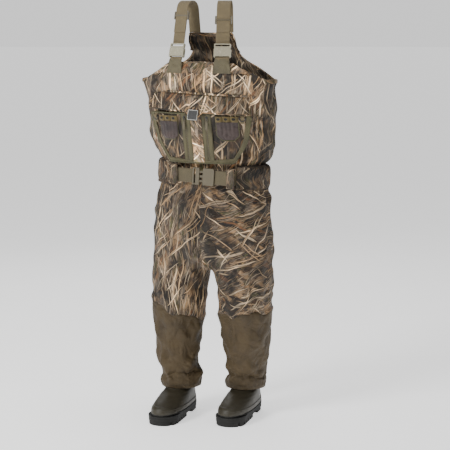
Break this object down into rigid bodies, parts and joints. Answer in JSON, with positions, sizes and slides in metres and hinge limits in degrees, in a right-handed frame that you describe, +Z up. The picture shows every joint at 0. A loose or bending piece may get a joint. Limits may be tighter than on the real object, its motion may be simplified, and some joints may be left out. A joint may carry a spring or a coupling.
{
  "type": "chest waders",
  "caption": "Camouflage chest waders with attached lug-sole boots, adjustable suspenders with side-release buckles, a webbing belt and a flapped chest pocket with two zips.",
  "frame": {"origin": "centre of the whole object's footprint box, on the ground under the soles", "axes": "+X to the wearer's left, -Y to the front, +Z up"},
  "size_m": [0.496, 0.3997, 1.495],
  "materials": {
    "marsh_camo_fabric": "matte printed woven fabric with a reed pattern",
    "brown_nylon": "matte plain woven nylon, abrasion resistant",
    "lining_fabric": "smooth dark lining",
    "olive_webbing": "ribbed woven webbing",
    "zip_fabric": "coated olive zip tape",
    "olive_plastic": "moulded acetal, semi gloss",
    "black_plastic": "moulded black plastic",
    "patch": "plain sewn patch",
    "boot_rubber": "soft sheen olive rubber",
    "black_rubber": "matte black lugged rubber",
    "insole_foam": "felt covered foam"
  },
  "bodies": {
    "waders": {"back_panel": "marsh_camo_fabric", "back_yoke": "marsh_camo_fabric", "belt_back": "olive_webbing", "belt_front_left": "olive_webbing", "belt_loops": "marsh_camo_fabric", "belt_socket": "olive_plastic", "bib_front": "marsh_camo_fabric", "bib_hem": "marsh_camo_fabric", "bib_side_left": "marsh_camo_fabric", "bib_side_right": "marsh_camo_fabric", "bib_tabs": "olive_webbing", "boot_upper_left": "boot_rubber", "boot_upper_right": "boot_rubber", "buckle_socket_left": "olive_plastic", "buckle_socket_right": "olive_plastic", "crotch_gusset": "marsh_camo_fabric", "cuffs": "brown_nylon", "d_ring_tabs": "olive_webbing", "flap_seam": "marsh_camo_fabric", "heel_counters": "black_rubber", "insoles": "insole_foam", "lining_back": "lining_fabric", "lining_front": "lining_fabric", "midsoles": "black_rubber", "outsole_left": "black_rubber", "outsole_right": "black_rubber", "pocket_face": "marsh_camo_fabric", "pocket_gussets": "marsh_camo_fabric", "shell_loops": "olive_webbing", "shell_pockets": "marsh_camo_fabric", "shin_left": "brown_nylon", "shin_right": "brown_nylon", "shoulder_webbing_left": "olive_webbing", "shoulder_webbing_right": "olive_webbing", "thigh_left": "marsh_camo_fabric", "thigh_right": "marsh_camo_fabric", "trouser_back_left": "marsh_camo_fabric", "trouser_back_right": "marsh_camo_fabric", "trouser_front_left": "marsh_camo_fabric", "trouser_front_right": "marsh_camo_fabric", "yoke_anchor": "olive_webbing", "zip_tapes": "zip_fabric"},
    "chest_flap": {"chest_flap": "marsh_camo_fabric", "flap_patch": "patch"},
    "zip_slider_left": {"zip_slider_left": "black_plastic"},
    "zip_pull_left": {"zip_pull_left": "black_plastic"},
    "d_ring_left": {"d_ring_left": "black_plastic"},
    "suspender_front_left": {"buckle_plug_left": "olive_plastic", "strap_front_left": "olive_webbing"},
    "adjuster_left": {"adjuster_left": "olive_plastic"},
    "zip_slider_right": {"zip_slider_right": "black_plastic"},
    "zip_pull_right": {"zip_pull_right": "black_plastic"},
    "d_ring_right": {"d_ring_right": "black_plastic"},
    "suspender_front_right": {"buckle_plug_right": "olive_plastic", "strap_front_right": "olive_webbing"},
    "adjuster_right": {"adjuster_right": "olive_plastic"},
    "belt_tongue": {"belt_plug": "olive_plastic", "belt_front_right": "olive_webbing"}
  },
  "joints": [
    {"name": "flap_hinge", "type": "hinge", "parent": "waders", "child": "chest_flap", "pos_m": [0, -0.10284, 1.17], "axis": [-0.9986, 0, 0.0523], "range_deg": [0, 70]},
    {"name": "zip_slide_left", "type": "slide", "parent": "waders", "child": "zip_slider_left", "axis": [-0.0242, 0.2414, -0.9701], "range_m": [0, 0.12]},
    {"name": "zip_pull_hinge_left", "type": "hinge", "parent": "zip_slider_left", "child": "zip_pull_left", "pos_m": [0.04228, -0.123, 1.08981], "axis": [-0.995, -0.0998, 0], "range_deg": [-6, 100]},
    {"name": "d_ring_hinge_left", "type": "hinge", "parent": "waders", "child": "d_ring_left", "pos_m": [0.162, -0.08879, 1.093], "axis": [-0.9135, -0.4067, 0], "range_deg": [-3, 90]},
    {"name": "suspender_buckle_left", "type": "slide", "parent": "waders", "child": "suspender_front_left", "axis": [-0.0468, 0.2054, 0.9776], "range_m": [0, 0.03]},
    {"name": "adjuster_slide_left", "type": "slide", "parent": "waders", "child": "adjuster_left", "axis": [-0.0468, 0.2054, 0.9776], "range_m": [-0.035, 0.015]},
    {"name": "zip_slide_right", "type": "slide", "parent": "waders", "child": "zip_slider_right", "axis": [0.0242, 0.2414, -0.9701], "range_m": [0, 0.12]},
    {"name": "zip_pull_hinge_right", "type": "hinge", "parent": "zip_slider_right", "child": "zip_pull_right", "pos_m": [-0.04228, -0.123, 1.08981], "axis": [-0.995, 0.0998, 0], "range_deg": [-6, 100]},
    {"name": "d_ring_hinge_right", "type": "hinge", "parent": "waders", "child": "d_ring_right", "pos_m": [-0.162, -0.08879, 1.093], "axis": [-0.9135, 0.4067, 0], "range_deg": [-3, 90]},
    {"name": "suspender_buckle_right", "type": "slide", "parent": "waders", "child": "suspender_front_right", "axis": [0.0468, 0.2054, 0.9776], "range_m": [0, 0.03]},
    {"name": "adjuster_slide_right", "type": "slide", "parent": "waders", "child": "adjuster_right", "axis": [0.0468, 0.2054, 0.9776], "range_m": [-0.045, 0.005]},
    {"name": "belt_buckle", "type": "slide", "parent": "waders", "child": "belt_tongue", "axis": [-0.9986, 0, 0.0523], "range_m": [0, 0.03]}
  ]
}
